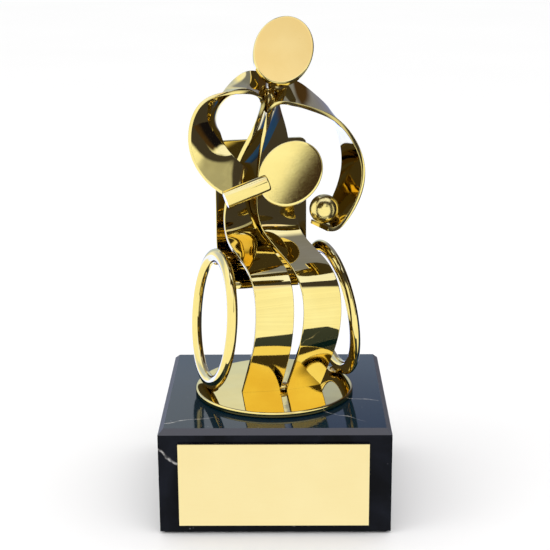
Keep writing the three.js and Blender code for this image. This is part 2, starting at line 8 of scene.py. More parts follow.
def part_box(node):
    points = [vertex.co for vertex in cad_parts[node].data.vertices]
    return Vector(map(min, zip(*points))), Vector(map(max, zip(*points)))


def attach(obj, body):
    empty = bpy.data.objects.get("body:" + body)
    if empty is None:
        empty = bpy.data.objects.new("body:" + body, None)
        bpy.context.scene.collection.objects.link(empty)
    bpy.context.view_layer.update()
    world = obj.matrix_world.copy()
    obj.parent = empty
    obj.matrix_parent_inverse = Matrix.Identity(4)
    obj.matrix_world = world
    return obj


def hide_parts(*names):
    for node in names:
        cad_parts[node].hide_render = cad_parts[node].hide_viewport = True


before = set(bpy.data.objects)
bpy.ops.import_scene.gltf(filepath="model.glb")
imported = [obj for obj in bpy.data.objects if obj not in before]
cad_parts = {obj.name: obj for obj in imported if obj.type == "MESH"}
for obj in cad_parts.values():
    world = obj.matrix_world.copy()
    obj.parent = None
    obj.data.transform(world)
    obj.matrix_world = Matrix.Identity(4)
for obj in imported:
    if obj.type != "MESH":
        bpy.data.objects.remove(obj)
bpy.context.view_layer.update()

scene = bpy.context.scene
scene.view_settings.view_transform = "Standard"

MM = 0.001

# ---- sizes of the object, in millimetres ------------------------------------------------------

DISC_RADIUS = 30.5
DISC_BOTTOM, DISC_TOP = 41.3, 43.3
DISC_RIM = 0.7
DISC_CENTRE = (-0.5, -1.2)

FIGURE_YAW = 18.0
FIGURE_CENTRE = (1.2, -0.9)

STRIP_WIDTH, STRIP_THICKNESS = 14.7, 1.6
STRIP_SIDE = (STRIP_WIDTH + STRIP_THICKNESS) / 2    # from the figure's middle
STRIP_STEPS = 5           # cross-sections in each span between stations
STRIP_SMOOTHING = 5       # passes that even out the bend from span to span
FOOT_GAP = 0.02           # a foot's flat end above the disc

RING_RADIUS = 24.4
RING_BAR_RADIAL, RING_BAR_AXIAL = 2.7, 2.0
WHEEL_HALF_TRACK, WHEEL_REAR, WHEEL_CAMBER = 24.1, 6.0, 7.0
CAD_GAP = 0.3             # space that the CAD model keeps between pieces

CHAIR_WIDTH, CHAIR_THICKNESS = 36.4, 2.0
CHAIR_TOP, CHAIR_SEAT, CHAIR_BACK = 92.3, 44.7, 25.0     # heights above the disc
CHAIR_DEPTH, CHAIR_BEND, CHAIR_LIP, CHAIR_CORNER = 33.0, 9.0, 2.2, 2.5
CHAIR_LIP_LENGTH = 0.6
CHAIR_YAW, CHAIR_CENTRE_X = -5.0, 1.0

HEAD_HALF_WIDTH, HEAD_HALF_HEIGHT, HEAD_THICKNESS, HEAD_BEVEL = 11.0, 14.6, 2.8, 0.5
HEAD_CENTRE = (4.7, 7.0, 127.9)
HEAD_LEAN, HEAD_TILT, HEAD_YAW = 20.0, 36.0, -10.0

BLADE_HALF_LENGTH, BLADE_HALF_WIDTH, BLADE_THICKNESS, BLADE_BEVEL = 12.8, 10.6, 2.0, 0.4
BLADE_REACH, BLADE_LEAN, BLADE_TURN = 25.2, 26.0, 22.0
HANDLE_RADIUS, HANDLE_LENGTH, HANDLE_CROWN = 3.15, 16.6, 0.8
HANDLE_START = (-STRIP_SIDE - 17.65, -20.0, 79.5)
HANDLE_YAW, HANDLE_RISE = -4.0, 19.0

BALL_RADIUS = 5.5
BALL_STATION, BALL_FORWARD = 21, 1.4

# Stations along each strip from foot to hand, in the figure's frame, which stands on the disc:
# x, y, z of the strip's middle, then the direction of its width, from the strip's edge on the
# figure's right to its other edge, as turn in plan and tilt above level in degrees. x is counted
# from STRIP_SIDE on the strip's own side.
RIGHT_STRIP_PATH = (
    (-0.65, -4.6, -0.9, -9, 0), (-0.25, -11.5, 10.7, -6, 0), (0.05, -17.5, 21.2, -2, 0),
    (0.05, -21, 32.7, 0, 0), (0.05, -20, 43.7, 0, 0), (0.05, -12, 49.7, 0, 0),
    (-0.45, 4, 52.9, 0, 0), (-0.75, 15.5, 56.9, 2, 2), (-0.25, 20.5, 65.7, 12, 0),
    (0.55, 18.3, 76.7, 26, -4), (1.85, 14.3, 87.7, 38, -6), (3.05, 9.8, 97.7, 54, 0),
    (3.75, 5.8, 106.7, 68, 12), (4.55, 3.6, 114.1, 68, 28), (-0.05, 2.6, 116.9, 68, 26),
    (-6.65, 1.9, 115.3, 68, 13), (-13.85, 0, 111.1, 58, -3), (-19.85, -4, 105.7, 38, -6),
    (-21.25, -8.5, 96.7, 22, 4), (-17.85, -13.2, 89.3, 14, 14), (-11.05, -15.6, 83.9, 26, 13),
)
LEFT_STRIP_PATH = (
    (-0.25, -5.2, -0.9, 8, 0), (0.85, -12, 10.7, 4, 0), (1.45, -18.5, 21.2, 0, 0),
    (1.75, -22.6, 32.7, 0, 0), (1.65, -21, 43.2, 0, 0), (0.85, -12, 49.7, 0, 0),
    (-0.55, 2.5, 53.1, -4, -2), (-2.65, 12, 57.6, -8, -9), (-3.85, 16.6, 64.9, -6, -4),
    (-4.55, 15.8, 76.1, 6, 0), (-5.75, 12.3, 87.4, 22, -4), (-6.95, 8.8, 96.7, 38, 0),
    (-8.15, 6.2, 104.7, 55, 10), (-8.05, 3.6, 111.7, 65, 26), (-2.15, 2.6, 113.5, 66, 28),
    (6.05, 2, 109.5, 72, 15), (13.85, 1, 104.1, 80, 4), (19.05, -0.6, 95.3, 92, 0),
    (21.15, -2.4, 85.3, 101, 0), (18.85, -4.4, 76.1, 104, 2), (13.25, -6.8, 67.9, 100, 2),
    (8.85, -8, 64.1, 98, 0), (5.45, -8.4, 64.5, 98, 0),
)

FINE_STEPS = 4            # finer cross-sections between two sections of a strip
STRIP_COLUMNS = 8         # faces across the width of a strip
EDGE_ROUND = 0.22         # polished edges of the sheet brass
EDGE_SHARE = 0.6          # the most of a sheet's half thickness that its edge rounding takes
SUPPORT = 2.2             # bevels from an oval plate's edge to the ring that keeps its face flat
DISC_LOWER_ROUND = 0.35
HANDLE_LOWER_ROUND = 0.3

# The braze beads swell past their CAD size to flow onto what they join.
BEAD_SWELLING = (1.06, 1.06, 1.06)
BEAD_SWELLINGS = {
    "braze_neck": (1.7, 1.1, 1.5), "braze_head": (1.2, 1.1, 1.1), "braze_feet": (1, 1, 1),
}
BEAD_UNEVENNESS, BEAD_LUMPS = 0.07, 1.7


# ---- materials --------------------------------------------------------------------------------

class Tree:
    """A short way to write a node tree."""

    def __init__(self, owner):
        owner.use_nodes = True
        self.tree = owner.node_tree
        self.tree.nodes.clear()

    def add(self, kind, inputs=None, **settings):
        node = self.tree.nodes.new("ShaderNode" + kind)
        for name, value in settings.items():
            setattr(node, name, value)
        inputs = inputs or {}
        self.feed([node.inputs[name] for name in inputs], inputs.values())
        return node

    def link(self, source, target):
        self.tree.links.new(source, target)

    def noise(self, vector, scale, detail=2.0, roughness=0.5, distortion=0.0):
        node = self.add("TexNoise", {
            "Vector": vector, "Scale": scale, "Detail": detail,
            "Roughness": roughness, "Distortion": distortion,
        })
        return node.outputs["Fac"]

    def ranged(self, value, low, high, out_low=0.0, out_high=1.0):
        node = self.add("MapRange", {
            "Value": value, "From Min": low, "From Max": high,
            "To Min": out_low, "To Max": out_high,
        }, interpolation_type="SMOOTHSTEP")
        return node.outputs["Result"]

    def feed(self, sockets, values):
        """Links or sets each socket."""
        for socket, value in zip(sockets, values):
            if isinstance(value, bpy.types.NodeSocket):
                self.link(value, socket)
            else:
                socket.default_value = value

    def maths(self, operation, first, second=0.0):
        node = self.add("Math", operation=operation)
        self.feed(node.inputs, (first, second))
        return node.outputs[0]

    def vectors(self, operation, first, second=None):
        node = self.add("VectorMath", operation=operation)
        self.feed(node.inputs, (first,) if second is None else (first, second))
        return node

    def mixed(self, factor, first, second, blend="MIX"):
        node = self.add("Mix", data_type="RGBA", blend_type=blend)
        self.feed((node.inputs[0], *node.inputs[6:8]), (factor, first, second))
        return node.outputs[2]

    def mapped(self, vector, scale=(1, 1, 1), rotation=(0, 0, 0)):
        node = self.add("Mapping", {"Vector": vector, "Scale": scale, "Rotation": rotation})
        return node.outputs["Vector"]

    def place(self):
        return self.add("TexCoord").outputs["Object"]


def material(name):
    made = bpy.data.materials.new(name)
    return made, Tree(made)


def finish_surface(tree, shader):
    output = tree.add("OutputMaterial")
    tree.link(shader.outputs["BSDF"], output.inputs["Surface"])


def polished_brass(name, ripple, dull):
    """Mirror-polished brass: slow waves in the sheet, faint tint changes and fine buffing marks."""
    made, t = material(name)
    place = t.place()
    tint = t.ranged(t.noise(place, 55, 3), 0.35, 0.7)
    clean = t.mixed(tint, (0.91, 0.74, 0.28, 1), (0.95, 0.80, 0.33, 1))
    stain = t.ranged(t.noise(place, 140, 5, 0.65), 0.64, 0.82)
    colour = t.mixed(t.maths("MULTIPLY", stain, 0.35), clean, (0.72, 0.47, 0.16, 1))
    marks = t.noise(t.mapped(place, (1, 1, 9), (0.5, 0.3, 0.2)), 900, 3, 0.7)
    roughness = t.ranged(marks, 0.3, 0.8, dull * 0.6, dull * 1.6)
    waves = t.add("Bump", {
        "Height": t.noise(place, 70, 1.5, 0.4), "Strength": 1.0, "Distance": ripple * MM,
    })
    fine = t.add("Bump", {
        "Height": marks, "Strength": 0.35, "Distance": 0.004 * MM,
        "Normal": waves.outputs["Normal"],
    })
    shader = t.add("BsdfPrincipled", {
        "Base Color": colour, "Metallic": 1.0, "Roughness": roughness,
        "Normal": fine.outputs["Normal"],
    })
    finish_surface(t, shader)
    return made


def braze_metal():
    """Filler metal: a little more orange than the brass, flowed and lightly buffed."""
    made, t = material("braze")
    place = t.place()
    tint = t.ranged(t.noise(place, 500, 3), 0.35, 0.7)
    colour = t.mixed(tint, (0.88, 0.66, 0.26, 1), (0.95, 0.78, 0.34, 1))
    flow = t.noise(place, 420, 2, 0.5)
    bump = t.add("Bump", {"Height": flow, "Strength": 0.5, "Distance": 0.12 * MM})
    shader = t.add("BsdfPrincipled", {
        "Base Color": colour, "Metallic": 1.0, "Roughness": t.ranged(flow, 0.3, 0.7, 0.08, 0.2),
        "Normal": bump.outputs["Normal"],
    })
    finish_surface(t, shader)
    return made


def polished_marble():
    """Near-black blue marble: white veins, faint clouds, crystal specks, a painted blue reflection
    on the top face, and a rough grey chamfer whose grey is partly a painted highlight.
    """
    made, t = material("marble")
    place = t.place()
    swirl = t.add("TexNoise", {"Vector": place, "Scale": 45.0, "Detail": 4.0})
    wander = t.vectors("SCALE", swirl.outputs["Color"])
    wander.inputs["Scale"].default_value = VEIN_WANDER
    bent = t.vectors("ADD", place, wander.outputs[0]).outputs[0]
    veins = 0.0
    for direction, point, width, reach, strength in VEINS:
        away = t.vectors("SUBTRACT", bent, Vector(point) * MM).outputs[0]
        dot = t.vectors("DOT_PRODUCT", away, Vector(direction).normalized())
        distance = t.maths("ABSOLUTE", dot.outputs["Value"])
        line = t.ranged(distance, 0.0, width * MM, 1.0, 0.0)
        length = t.vectors("LENGTH", away).outputs["Value"]
        near = t.ranged(length, reach * 0.5 * MM, reach * MM, strength, 0.0)
        line = t.maths("MULTIPLY", line, near)
        veins = line if veins == 0.0 else t.maths("MAXIMUM", veins, line)
    broken = t.ranged(t.noise(place, 420, 4, 0.7), 0.38, 0.62, 0.15, 1.0)
    veins = t.maths("MULTIPLY", veins, broken)
    normal = t.add("NewGeometry").outputs["True Normal"]
    slope = t.add("SeparateXYZ", {"Vector": normal}).outputs["Z"]     # 1 on top, 0 on the sides
    clouds = t.ranged(t.noise(place, 38, 6, 0.6, 1.0), 0.4, 0.8)
    ground = t.mixed(clouds, (0.0022, 0.0024, 0.0042, 1), (0.008, 0.0095, 0.016, 1))
    # Painted reflection: faces that point up are tinted blue, standing in for the bluish sheen that
    # the top reflects.
    ground = t.mixed(t.ranged(slope, 0.9, 0.99, 0.0, 0.8), ground, (0.002, 0.017, 0.030, 1))
    cells = t.add("TexVoronoi", {"Vector": place, "Scale": 420.0}, feature="F1")
    speck = t.ranged(cells.outputs["Distance"], 0.06, 0.16, 1.0, 0.0)
    some = t.ranged(t.noise(place, 160, 3), 0.6, 0.66)
    speck = t.maths("MULTIPLY", speck, some)
    colour = t.mixed(t.maths("MULTIPLY", speck, 0.5), ground, (0.30, 0.30, 0.34, 1))
    colour = t.mixed(t.maths("MULTIPLY", veins, 0.85), colour, (0.62, 0.60, 0.58, 1))
    # The sloping chamfers are unpolished and rougher; their lighter grey colour is partly a painted
    # highlight along the edge.
    honed_with_painted_highlight = t.maths("MULTIPLY", t.ranged(slope, 0.4, 0.6), t.ranged(slope, 0.8, 0.95, 1.0, 0.0))
    colour = t.mixed(honed_with_painted_highlight, colour, (0.065, 0.066, 0.078, 1))
    pits = t.noise(place, 900, 4, 0.7)
    bump = t.add("Bump", {"Height": pits, "Strength": 0.12, "Distance": 0.02 * MM})
    gloss = t.ranged(pits, 0.3, 0.75, 0.03, 0.10)
    shader = t.add("BsdfPrincipled", {
        "Base Color": colour, "Metallic": 0.0,
        "Roughness": t.maths("MAXIMUM", gloss, t.maths("MULTIPLY", honed_with_painted_highlight, 0.45)),
        "Specular IOR Level": t.ranged(slope, 0.5, 0.95, 0.07, 0.42),
        "Normal": bump.outputs["Normal"],
    })
    finish_surface(t, shader)
    return made


def brushed_gold():
    """Satin gold plate with fine horizontal grain."""
    made, t = material("plate_gold")
    place = t.place()
    grain = t.noise(t.mapped(place, (0.03, 1, 1)), 5200, 3, 0.7)
    soft = t.noise(place, 60, 3)
    colour = t.mixed(soft, (0.93, 0.76, 0.40, 1), (0.97, 0.82, 0.47, 1))
    bump = t.add("Bump", {"Height": grain, "Strength": 0.25, "Distance": 0.02 * MM})
    shader = t.add("BsdfPrincipled", {
        "Base Color": colour, "Metallic": 1.0, "Roughness": t.ranged(grain, 0.3, 0.7, 0.34, 0.48),
        "Normal": bump.outputs["Normal"],
    })
    finish_surface(t, shader)
    return made


def pressed_felt():
    """Black felt with a fine nap."""
    made, t = material("felt")
    place = t.place()
    fibres = t.noise(place, 2600, 6, 0.75, 1.5)
    colour = t.mixed(fibres, (0.006, 0.006, 0.007, 1), (0.035, 0.035, 0.038, 1))
    bump = t.add("Bump", {"Height": fibres, "Strength": 0.9, "Distance": 0.25 * MM})
    shader = t.add("BsdfPrincipled", {
        "Base Color": colour, "Roughness": 0.95, "Sheen Weight": 0.3,
        "Normal": bump.outputs["Normal"],
    })
    finish_surface(t, shader)
    return made


def turned_steel():
    """Plain steel with fine turning marks."""
    made, t = material("steel")
    place = t.place()
    marks = t.noise(t.mapped(place, (1, 1, 12)), 900, 3, 0.7)
    colour = t.mixed(marks, (0.42, 0.43, 0.44, 1), (0.60, 0.60, 0.60, 1))
    bump = t.add("Bump", {"Height": marks, "Strength": 0.4, "Distance": 0.02 * MM})
    shader = t.add("BsdfPrincipled", {
        "Base Color": colour, "Metallic": 1.0, "Roughness": t.ranged(marks, 0.3, 0.7, 0.25, 0.45),
        "Normal": bump.outputs["Normal"],
    })
    finish_surface(t, shader)
    return made


def foam_tape():
    """White foam adhesive."""
    made, t = material("adhesive")
    place = t.place()
    foam = t.noise(place, 1800, 3, 0.6)
    colour = t.mixed(foam, (0.72, 0.72, 0.68, 1), (0.86, 0.86, 0.82, 1))
    bump = t.add("Bump", {"Height": foam, "Strength": 0.5, "Distance": 0.05 * MM})
    shader = t.add("BsdfPrincipled", {
        "Base Color": colour, "Roughness": 0.8, "Normal": bump.outputs["Normal"],
    })
    finish_surface(t, shader)
    return made


# Veins: direction across the vein, a point on it, half width and reach in mm, and how white.
VEIN_WANDER = 0.016       # how far the veins stray from straight, in metres
VEINS = (
    ((-16, 26, -16), (-38, -38, 41), 0.55, 34, 0.9),
    ((-10, 22, -26), (-37, -42, 35), 1.0, 10, 0.9),
    ((0.5, 0.2, 0.85), (-38, -42.5, 31), 2.6, 6, 0.45),
    ((-0.55, 0.1, 0.8), (-36, -42.5, 28.5), 0.5, 5, 0.8),
    ((0.18, 0.93, 0.3), (36, -1, 41), 0.4, 20, 0.9),
    ((0.5, 0.8, -0.3), (30, -22, 41), 0.3, 16, 0.7),
    ((0.06, 0.3, 0.95), (10, -42.5, 2.2), 0.9, 16, 0.9),
    ((0.1, 0.2, 1.0), (22, -42.5, 3.4), 1.6, 9, 0.5),
    ((0.05, 0.1, 1.0), (-25, -42.5, 37), 0.6, 6, 0.9),
    ((0.7, -0.2, 0.6), (42, 15, 22), 0.6, 34, 0.9),
    ((0.3, 0.5, 0.7), (-42, 8, 18), 0.5, 38, 0.8),
    ((-0.5, 0.3, 0.8), (5, 42, 24), 0.6, 45, 0.9),
)

BRASS_SHEET = polished_brass("brass_sheet", 0.05, 0.03)
BRASS_BAR = polished_brass("brass_bar", 0.05, 0.045)
BRASS_PLATE = polished_brass("brass_plate", 0.010, 0.03)
BRASS_BALL = polished_brass("brass_ball", 0.03, 0.2)
BRAZE = braze_metal()
MARBLE = polished_marble()
PLATE_GOLD = brushed_gold()
FELT = pressed_felt()
STEEL = turned_steel()
ADHESIVE = foam_tape()


# ---- pieces -----------------------------------------------------------------------------------

def turned(axis, degrees):
    return Matrix.Rotation(math.radians(degrees), 4, axis)


def moved(x, y, z):
    return Matrix.Translation((x, y, z))


FIGURE = moved(*FIGURE_CENTRE, DISC_TOP) @ turned("Z", FIGURE_YAW)
SHARP_ANGLE = math.radians(35)


def in_place(matrix, verts):
    """The points, in millimetres, moved by a matrix in millimetres."""
    return [matrix @ Vector(v) for v in verts]


def piece(name, node, verts, faces, finish):
    """A piece in place of a CAD node. verts are in millimetres, in the trophy's frame."""
    mesh = bpy.data.meshes.new(name)
    mesh.from_pydata([Vector(v) * MM for v in verts], [], faces)
    work = bmesh.new()
    work.from_mesh(mesh)
    bmesh.ops.remove_doubles(work, verts=work.verts, dist=0.0005 * MM)
    bmesh.ops.recalc_face_normals(work, faces=work.faces)
    work.to_mesh(mesh)
    work.free()
    mesh.validate()
    mesh.materials.append(finish)
    mesh.shade_smooth()
    mesh.set_sharp_from_angle(angle=SHARP_ANGLE)
    made = bpy.data.objects.new(name, mesh)
    scene.collection.objects.link(made)
    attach(made, "root")
    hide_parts(node)
    return made


def rounded_section(half_width, half_thickness):
    """The outline of a flat bar with rounded edges, anticlockwise, as (across, normal) pairs."""
    radius = min(EDGE_ROUND, half_thickness * EDGE_SHARE)
    inner = half_width - radius
    support = inner - radius / 2
    line = [-inner, -support]
    line += [-support + 2 * support * step / STRIP_COLUMNS for step in range(1, STRIP_COLUMNS)]
    line += [support, inner]
    outline = [(u, -half_thickness) for u in line]
    arc = 3
    flat = half_thickness - radius
    for step in range(1, arc):
        angle = -math.pi / 2 + step / arc * math.pi / 2
        outline.append((inner + radius * math.cos(angle), -flat + radius * math.sin(angle)))
    outline += [(half_width, -flat), (half_width, flat)]
    for step in range(1, arc):
        angle = step / arc * math.pi / 2
        outline.append((inner + radius * math.cos(angle), flat + radius * math.sin(angle)))
    return outline + [(-u, -v) for u, v in outline]


def sheet_mesh(sections):
    """A closed bar swept through sections: centre, across, normal, half width, half thickness."""
    verts, faces = [], []
    count = 0
    for centre, across, normal, half_width, half_thickness in sections:
        outline = rounded_section(half_width, half_thickness)
        count = len(outline)
        verts += [centre + across * u + normal * v for u, v in outline]
    for row in range(len(sections) - 1):
        for step in range(count):
            a = row * count + step
            b = row * count + (step + 1) % count
            faces.append((a, b, b + count, a + count))
    last = (len(sections) - 1) * count
    faces.append(tuple(range(count))[::-1])
    faces.append(tuple(range(last, last + count)))
    return verts, faces


def spun(profile, segments):
    """A closed body turned about Z from (radius, height) points that start and end on the axis."""
    verts, faces = [], []
    rings = profile[1:-1]
    for radius, height in rings:
        for step in range(segments):
            angle = 2 * math.pi * step / segments
            verts.append((radius * math.cos(angle), radius * math.sin(angle), height))
    for row in range(len(rings) - 1):
        for step in range(segments):
            a = row * segments + step
            b = row * segments + (step + 1) % segments
            faces.append((a, b, b + segments, a + segments))
    last = (len(rings) - 1) * segments
    faces.append(tuple(range(segments))[::-1])
    faces.append(tuple(range(last, last + segments)))
    return verts, faces


def arc_points(centre, radius, start, end, steps):
    """(radius, height) points of an arc, from start to end degrees."""
    points = []
    for step in range(steps + 1):
        angle = math.radians(start + (end - start) * step / steps)
        points.append((
            centre[0] + radius * math.cos(angle), centre[1] + radius * math.sin(angle),
        ))
    return points


def catmull(points, steps):
    """Points of the centripetal Catmull-Rom curve through the given points, as in the CAD."""
    def at(index):
        if index < 0:
            return points[0] * 2 - points[1]
        if index >= len(points):
            return points[-1] * 2 - points[-2]
        return points[index]

    made = []
    for span in range(len(points) - 1):
        p0, p1, p2, p3 = (at(span + shift) for shift in (-1, 0, 1, 2))
        d0, d1, d2 = ((b - a).length ** 0.5 for a, b in ((p0, p1), (p1, p2), (p2, p3)))
        d1 = d1 or 1.0
        d0 = d0 or d1
        d2 = d2 or d1
        t1 = ((p1 - p0) / d0 - (p2 - p0) / (d0 + d1) + (p2 - p1) / d1) * d1
        t2 = ((p2 - p1) / d1 - (p3 - p1) / (d1 + d2) + (p3 - p2) / d2) * d1
        for step in range(steps):
            t = step / steps
            made.append(
                p1 + t1 * t + (p1 * -3 + p2 * 3 - t1 * 2 - t2) * t * t
                + (p1 * 2 - p2 * 2 + t1 + t2) * t * t * t
            )
    made.append(points[-1].copy())
    return made


def evened(points, passes):
    """The points with their bends spread more evenly; both ends stay."""
    for _ in range(passes):
        inner = [
            points[i].lerp((points[i - 1] + points[i + 1]) / 2, 0.5)
            for i in range(1, len(points) - 1)
        ]
        points = [points[0], *inner, points[-1]]
    return points


def strip_sections(path, side):
    """The strip's cross-sections, as close together as the CAD model's and then finer."""
    middles = [Vector((row[0] + side * STRIP_SIDE, row[1], row[2])) for row in path]
    widths = []
    for row in path:
        turn, tilt = (math.radians(a) for a in row[3:])
        widths.append(Vector((
            math.cos(turn) * math.cos(tilt), math.sin(turn) * math.cos(tilt), math.sin(tilt),
        )))
    centres = evened(catmull(middles, STRIP_STEPS), STRIP_SMOOTHING)
    directions = evened(catmull(widths, STRIP_STEPS), STRIP_SMOOTHING)
    centres = evened(catmull(centres, FINE_STEPS), FINE_STEPS)
    directions = evened(catmull(directions, FINE_STEPS), FINE_STEPS)
    sections = []
    for index, centre in enumerate(centres):
        before = centres[max(index - 1, 0)]
        after = centres[min(index + 1, len(centres) - 1)]
        along = (after - before).normalized()
        across = directions[index] - along * directions[index].dot(along)
        across.normalize()
        sections.append((
            centre, across, along.cross(across), STRIP_WIDTH / 2, STRIP_THICKNESS / 2,
        ))
    return sections


def cut_foot(mesh, height):
    """Cuts the mesh flat at a height in metres, keeps what is above and closes it."""
    work = bmesh.new()
    work.from_mesh(mesh)
    geometry = [*work.verts, *work.edges, *work.faces]
    bmesh.ops.bisect_plane(
        work, geom=geometry, dist=1e-7, plane_co=(0, 0, height), plane_no=(0, 0, -1),
        clear_outer=True,
    )
    rim = [edge for edge in work.edges if edge.is_boundary]
    bmesh.ops.contextual_create(work, geom=rim)
    bmesh.ops.recalc_face_normals(work, faces=work.faces)
    work.to_mesh(mesh)
    work.free()


def strip(name, path, side):
    """One leg, half of the body and one arm, from the foot on the disc to the hand."""
    verts, faces = sheet_mesh(strip_sections(path, side))
    made = piece(name + "_polished", name, in_place(FIGURE, verts), faces, BRASS_SHEET)
    cut_foot(made.data, (DISC_TOP + FOOT_GAP) * MM)
    made.data.shade_smooth()
    made.data.set_sharp_from_angle(angle=SHARP_ANGLE)


def ellipse_plate(half_x, half_y, thickness, bevel, segments=160):
    """An oval disc in the X-Y plane with rounded edges."""
    half = thickness / 2
    rings = [(bevel * SUPPORT, -half), (bevel, -half)]
    for angle in (22.5, 45, 67.5, 90):
        turn = math.radians(angle)
        rings.append((bevel - bevel * math.sin(turn), -half + bevel - bevel * math.cos(turn)))
    rings += [(inset, -height) for inset, height in reversed(rings)]
    verts, faces = [], []
    for inset, height in rings:
        for step in range(segments):
            angle = 2 * math.pi * step / segments
            x, y = (half_x - inset) * math.cos(angle), (half_y - inset) * math.sin(angle)
            verts.append((x, y, height))
    for row in range(len(rings) - 1):
        for step in range(segments):
            a = row * segments + step
            b = row * segments + (step + 1) % segments
            faces.append((a, b, b + segments, a + segments))
    last = (len(rings) - 1) * segments
    faces.append(tuple(range(segments))[::-1])
    faces.append(tuple(range(last, last + segments)))
    return verts, faces


def wheel_ring(name, side):
    """A ring of oval bar that stands for a wheel, its top leaning inwards."""
    camber = math.radians(WHEEL_CAMBER)
    drop = math.hypot(
        (RING_RADIUS + RING_BAR_RADIAL) * math.cos(camber), RING_BAR_AXIAL * math.sin(camber),
    )
    around, section = 192, 36
    verts, faces = [], []
    for step in range(around):
        turn = 2 * math.pi * step / around
        for corner in range(section):
            angle = 2 * math.pi * corner / section
            radius = RING_RADIUS + RING_BAR_RADIAL * math.cos(angle)
            x = RING_BAR_AXIAL * math.sin(angle)
            verts.append((x, radius * math.cos(turn), radius * math.sin(turn)))
            a = step * section + corner
            b = step * section + (corner + 1) % section
            c = (step + 1) % around * section + (corner + 1) % section
            d = (step + 1) % around * section + corner
            faces.append((a, b, c, d))
    place = FIGURE @ moved(side * WHEEL_HALF_TRACK, WHEEL_REAR, CAD_GAP + drop)
    place = place @ turned("Y", -side * WHEEL_CAMBER)
    piece(name + "_polished", name, in_place(place, verts), faces, BRASS_BAR)


def chair_shell():
    """One bent sheet: back panel, bend, seat and a small lip rolled down at the front."""
    half = CHAIR_THICKNESS / 2
    bend = CHAIR_BEND + half
    lip = CHAIR_LIP - half
    front = CHAIR_LIP - CHAIR_DEPTH
    bottom = CHAIR_SEAT + CHAIR_BEND
    edge = CHAIR_SEAT - CHAIR_LIP
    panel_steps, bend_steps, seat_steps, lip_steps = 12, 24, 8, 12
    path = []       # y, z and direction of the sheet's middle, and depth below the panel's top
    corner = CHAIR_CORNER
    straight = CHAIR_TOP - bottom - corner
    depths = [0, 0.08, 0.2, 0.45, 0.8, 1.3, 1.9, corner]
    depths += [corner + straight * step / panel_steps for step in range(1, panel_steps + 1)]
    for depth in depths:
        path.append((0.0, CHAIR_TOP - depth, 0.0, -1.0, depth))
    for step in range(1, bend_steps + 1):
        angle = -math.pi / 2 * step / bend_steps
        path.append((
            -half - CHAIR_BEND + bend * math.cos(angle), bottom + bend * math.sin(angle),
            math.sin(angle), -math.cos(angle), math.inf,
        ))
    for step in range(1, seat_steps + 1):
        y = -half - CHAIR_BEND + (front + half + CHAIR_BEND) * step / seat_steps
        path.append((y, CHAIR_SEAT - half, -1.0, 0.0, math.inf))
    for step in range(1, lip_steps + 1):
        angle = math.pi / 2 + math.pi / 2 * step / lip_steps
        path.append((
            front + lip * math.cos(angle), edge + lip * math.sin(angle),
            -math.sin(angle), math.cos(angle), math.inf,
        ))
    for share in (0.5, 0.85, 1.0):
        path.append((
            -CHAIR_DEPTH + half, edge - CHAIR_LIP_LENGTH * share, 0.0, -1.0, math.inf,
        ))
    place = FIGURE @ moved(CHAIR_CENTRE_X, CHAIR_BACK, 0) @ turned("Z", CHAIR_YAW)
    turn = place.to_3x3()
    end_thinning = (EDGE_ROUND, 0.06)       # rounds the sheet's two ends
    sections = []
    for index, (y, z, along_y, along_z, depth) in enumerate(path):
        inset = 0.0
        if depth < corner:
            inset = corner - math.sqrt(corner ** 2 - (corner - depth) ** 2)
        from_end = min(index, len(path) - 1 - index)
        thin = end_thinning[from_end] if from_end < len(end_thinning) else 0.0
        across = turn @ Vector((1, 0, 0))
        along = turn @ Vector((0, along_y, along_z))
        sections.append((
            place @ Vector((0, y, z)), across, along.cross(across),
            CHAIR_WIDTH / 2 - inset, half - thin,
        ))
    verts, faces = sheet_mesh(sections)
    piece("chair_shell_polished", "chair_shell", verts, faces, BRASS_SHEET)


strip("right_body_strip", RIGHT_STRIP_PATH, -1)
strip("left_body_strip", LEFT_STRIP_PATH, 1)
wheel_ring("right_wheel_ring", -1)
wheel_ring("left_wheel_ring", 1)
chair_shell()

head_place = FIGURE @ moved(*HEAD_CENTRE) @ turned("Z", HEAD_YAW) @ turned("X", 90 - HEAD_TILT)
head_place = head_place @ turned("Z", -HEAD_LEAN)
verts, faces = ellipse_plate(HEAD_HALF_WIDTH, HEAD_HALF_HEIGHT, HEAD_THICKNESS, HEAD_BEVEL)
verts = in_place(head_place, verts)
piece("head_disc_polished", "head_disc", verts, faces, BRASS_PLATE)

paddle_place = FIGURE @ moved(*HANDLE_START) @ turned("Z", HANDLE_YAW) @ turned("Y", -HANDLE_RISE)
paddle_place = paddle_place @ turned("X", 90 - BLADE_TURN)
blade_place = paddle_place @ moved(BLADE_REACH, 0, 0) @ turned("Z", BLADE_LEAN)
verts, faces = ellipse_plate(BLADE_HALF_LENGTH, BLADE_HALF_WIDTH, BLADE_THICKNESS, BLADE_BEVEL)
verts = in_place(blade_place, verts)
piece("paddle_blade_polished", "paddle_blade", verts, faces, BRASS_PLATE)

profile = [(0, 0), (HANDLE_RADIUS - 0.7, 0)]
rounding = HANDLE_LOWER_ROUND
profile += arc_points((HANDLE_RADIUS - rounding, rounding), rounding, -90, 0, 4)
crown_centre = (HANDLE_RADIUS - HANDLE_CROWN, HANDLE_LENGTH - HANDLE_CROWN)
profile += arc_points(crown_centre, HANDLE_CROWN, 0, 90, 6)
profile += [(HANDLE_RADIUS - 1.4, HANDLE_LENGTH), (0, HANDLE_LENGTH)]
verts, faces = spun(profile, 72)
verts = in_place(paddle_place @ turned("Y", 90), verts)
piece("paddle_handle_polished", "paddle_handle", verts, faces, BRASS_BAR)

